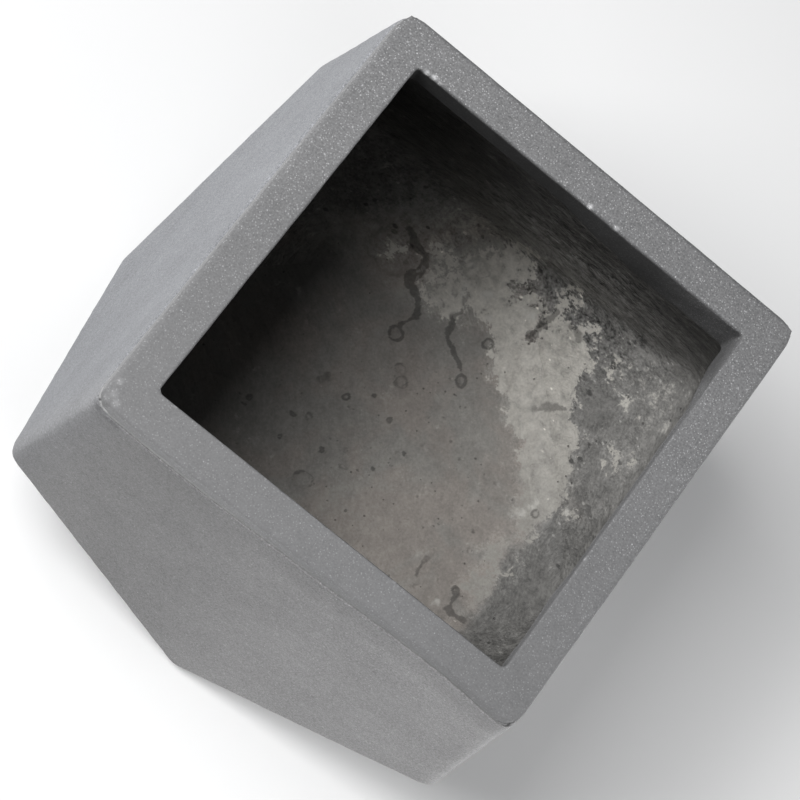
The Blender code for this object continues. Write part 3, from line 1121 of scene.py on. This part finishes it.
def bare_cement(tree, found, base, streak, mottle):
    """Cement with strokes and patches, warmer on the open floor."""
    marks = varied(tree, (found.blotches, 0.35), (found.mottles, mottle), (found.grain, 0.35 + 0.6 * mottle),
                   (found.lines, 2 * streak))
    if found.brushed:
        strength = between(tree, found.across, -0.02, 0.12, 0.70, 1.60)
        strength = times(tree, strength, between(tree, found.axes["X"], -0.12, 0.04, 0.40, 1.0))
    else:
        strength = scaled(tree, field(tree, "coat"), 0.9, 1.0)
    level = scaled(tree, calc(tree, "SUBTRACT", marks, 1.0), strength, 1.0)
    warmth = between(tree, clouds(tree, found.spot, 16, 3, 0.6, 0.5), 0.42, 0.62)
    cement = blend(tree, warmth, grey(base, (1.04, 1.0, 0.93)), grey(base, (1.09, 0.995, 0.91)))
    sheltered = calc(tree, "MAXIMUM", between(tree, found.axes["Z"], 0.027, 0.055), field(tree, "coat"))
    cement = blend(tree, sheltered, cement, grey(base, (1.02, 1.0, 0.955)))
    # The tone field carries painted shade and painted light besides the cement's own tone.
    return lit(tree, lit(tree, cement, level), field(tree, "tone_and_shade"))


def filmed_cement(tree, found, base, cement):
    """Puts a pale wash and a ragged film with whiter spots on cement; also gives how solid the film is."""
    film = field(tree, "film")
    reach = varied(tree, (found.ragged, 1.3), (found.grain, 0.5), start=film)
    beside_film = times(tree, between(tree, film, 0.0, 0.4), between(tree, found.across, 0.0, 0.08))
    dragged = times(tree, scaled(tree, found.lines, 0.5, -0.25), beside_film)
    reach = calc(tree, "ADD", reach, dragged)
    cement = lit(tree, cement, scaled(tree, between(tree, reach, 0.10, 0.55), 0.32, 1.0))
    thin = between(tree, found.mottles, 0.34, 0.56, 0.70, 1.0)
    reach = varied(tree, (found.mottles, 1.2), start=reach)
    further_out = calc(tree, "ADD", found.axes["X"], found.axes["Y"])
    edge_low = between(tree, further_out, 0.332, 0.375, 0.46, 0.30)
    edge_high = between(tree, further_out, 0.332, 0.375, 0.55, 0.85)
    solid = times(tree, between(tree, reach, edge_low, edge_high), thin)
    patchy = varied(tree, (found.mottles, 0.8), (found.grain, 0.6), (found.ragged, 0.5))
    pale = lit(tree, grey(base * PALE_GAIN, (1.04, 1.0, 0.92)), patchy)
    pale = lit(tree, pale, between(tree, found.across, -0.14, 0.10, 0.74, 1.22))
    colour = blend(tree, solid, cement, pale)
    whiter = varied(tree, (found.ragged, 1.6), (found.mottles, 1.2), start=field(tree, "white"))
    white = between(tree, whiter, 0.20, 0.90)
    return blend(tree, times(tree, white, 0.8), colour, grey(base * WHITE_GAIN, (1.02, 1.0, 0.94))), solid


def stained_cement(name, base, made_lines, streak, mottle, relief):
    """Cement inside the hollow: brushed or floated, with pale film, dark dried runs, pits and specks.

    `made_lines` makes the strokes; `streak` and `mottle` say how strongly they and the patches show, and
    `relief` is the strokes' depth.
    """
    material, tree, shader = new_material(name)
    found = hollow_patterns(tree, made_lines)
    cement = bare_cement(tree, found, base, streak, mottle)
    colour, solid = filmed_cement(tree, found, base, cement)
    drawn = field(tree, "stain")
    stain = between(tree, varied(tree, (found.mottles, 1.6), start=drawn), 0.10, 0.75)
    colour = marked(tree, colour, times(tree, stain, between(tree, drawn, 0.0, 0.3)), 0.72, 0.26)
    pits = flecks(tree, found.spot, 120, 0.60, 0.17, 0.5)
    pits = times(tree, pits, between(tree, found.blotches, 0.46, 0.56))
    colour = marked(tree, colour, pits, 0.7, 0.30)
    specks = flecks(tree, found.spot, 190, 0.20, 0.20)
    if found.brushed:
        torn = flecks(tree, place(tree, (0.32, 0.9, 1.0)), 100, 0.70, 0.30, 0.5)
        torn = times(tree, torn, between(tree, found.ragged, 0.44, 0.54))
        torn = times(tree, torn, scaled(tree, solid, -0.8, 1.0))
        colour = marked(tree, colour, torn, 0.75, 0.18)
        dashes = flecks(tree, place(tree, (0.34, 0.9, 1.0)), 150, 0.5, 0.25, 0.6)
        specks = calc(tree, "MAXIMUM", specks, dashes)
    colour = marked(tree, colour, specks, 0.7, 2.2 if found.brushed else 1.4)
    height = varied(tree, (found.lines, streak), (found.grain, 0.30), (found.mottles, 0.7))
    height = calc(tree, "SUBTRACT", height, pits)
    surface(tree, shader, colour, between(tree, found.blotches, 0.2, 0.8, 0.58, 0.80), height, relief, 0.9)
    return material


def glass_mat_material():
    """Woven glass scrim wetted out with cement, seen only at cut edges."""
    material, tree, shader = new_material("glass_mat")
    spot = place(tree)
    values = {"Vector": spot, "Scale": 130.0, "Distortion": 0.6}
    threads = [node(tree, "ShaderNodeTexWave", values, bands_direction=axis) for axis in "XZ"]
    weave = calc(tree, "MAXIMUM", *(thread.outputs["Fac"] for thread in threads))
    soaked = clouds(tree, spot, 40, 4)
    colour = blend(tree, weave, grey(0.20), grey(0.42))
    colour = blend(tree, between(tree, soaked, 0.4, 0.65), colour, grey(0.20))
    surface(tree, shader, colour, between(tree, soaked, 0.3, 0.7, 0.45, 0.8), weave, 0.0004)
    return material


def stage_material():
    material, tree, shader = new_material("stage")
    tint = clouds(tree, place(tree), 3, 2)
    tree.links.new(between(tree, tint, 0.3, 0.7, 0.9, 0.95), shader.inputs["Roughness"])
    shader.inputs["Base Color"].default_value = (0.82, 0.82, 0.82, 1.0)
    return material


# ---------------------------------------------------------------- camera, floor and light

CAMERA_LENS = 118.86  # mm, on a 36 mm sensor
CAMERA_AIM = (-0.0199, -0.0544, HEIGHT)
CAMERA_DISTANCE = 2.010
CAMERA_AZIMUTH = math.radians(-108.15)
CAMERA_TILT = math.radians(18.0)
CAMERA_ROLL = math.radians(-56.37)


def add_camera():
    """A steep view from above, turned so that the rim's square stands on a corner."""
    level = Vector((math.cos(CAMERA_AZIMUTH), math.sin(CAMERA_AZIMUTH), 0))
    back = level * math.sin(CAMERA_TILT) + Vector((0, 0, math.cos(CAMERA_TILT)))
    plain_up = (Vector((0, 0, 1)) - back * back.z).normalized()
    plain_right = plain_up.cross(back)
    up = plain_up * math.cos(CAMERA_ROLL) + plain_right * math.sin(CAMERA_ROLL)
    right = up.cross(back)
    data = bpy.data.cameras.new("camera")
    data.lens = CAMERA_LENS
    data.clip_start = 0.05
    camera = new_object("camera", data)
    turn = Matrix((right, up, back)).transposed().to_4x4()
    camera.matrix_world = Matrix.Translation(Vector(CAMERA_AIM) + back * CAMERA_DISTANCE) @ turn
    bpy.context.scene.camera = camera


LIGHT_DISTANCE = 2.6
LIGHT_SIZE = 1.2


def add_light(name, azimuth, elevation, power):
    """A square soft light that looks at the middle of the object, from angles in degrees."""
    turn, rise = math.radians(azimuth), math.radians(elevation)
    back = Vector((math.cos(turn) * math.cos(rise), math.sin(turn) * math.cos(rise), math.sin(rise)))
    data = bpy.data.lights.new(name, "AREA")
    data.shape = "SQUARE"
    data.size = LIGHT_SIZE
    data.energy = power
    light = new_object(name, data)
    light.location = Vector((0, 0, HEIGHT / 2)) + back * LIGHT_DISTANCE
    light.rotation_mode = "QUATERNION"
    light.rotation_quaternion = back.to_track_quat("Z", "Y")


def add_stage():
    bm = bmesh.new()
    bmesh.ops.create_circle(bm, cap_ends=True, segments=64, radius=6.0)
    floor = new_object("stage_floor", mesh_from(bm))
    floor.data.materials.append(stage_material())


def add_world():
    world = bpy.data.worlds.new("studio")
    world.use_nodes = True
    sky = world.node_tree.nodes["Background"].inputs
    sky["Color"].default_value = (0.93, 0.96, 1.0, 1.0)
    sky["Strength"].default_value = 0.12
    bpy.context.scene.world = world
    bpy.context.scene.view_settings.view_transform = "Standard"


def build():
    face_material = speckled_cement(
        "face_cement", FACE_GREY, tints=((1.005, 1.027, 1.085), (1.01, 1.0, 1.005)),
        grain_gain=1.4, blotch_gain=0.38, faint=(0.90, 0.30), bright=(0.30, 0.65), near_share=1.05)
    rim_material = speckled_cement(
        "rim_cement", RIM_GREY, tints=((1.0, 1.0, 1.015), (1.0, 1.0, 1.015)),
        grain_gain=1.2, blotch_gain=0.30, faint=(0.95, 0.95), bright=(0.50, 1.00), near_share=0.50)
    mortar = mortar_material()
    hollow_material = stained_cement("brushed_cement", HOLLOW_GREY, brushed_lines, 0.50, 1.6, 0.0024)
    floor_material = stained_cement("screed_cement", HOLLOW_GREY, swept_lines, 0.10, 0.60, 0.0005)
    cove_material = stained_cement("cove_mortar", HOLLOW_GREY, brushed_lines, 0.45, 1.4, 0.0016)

    face_skin(face_material)
    scrim_skin(glass_mat_material())
    rim_casting(rim_material)
    mortar_bead(mortar)
    backing_skin(hollow_material)
    floor_skin(floor_material)
    for number in range(1, 5):
        cove_skin(number, cove_material)

    add_camera()
    add_stage()
    add_world()
    add_light("key", 180, 66, 36)
    add_light("side", 201, 48, 51)
    add_light("low", -20, 12, 50)


build()
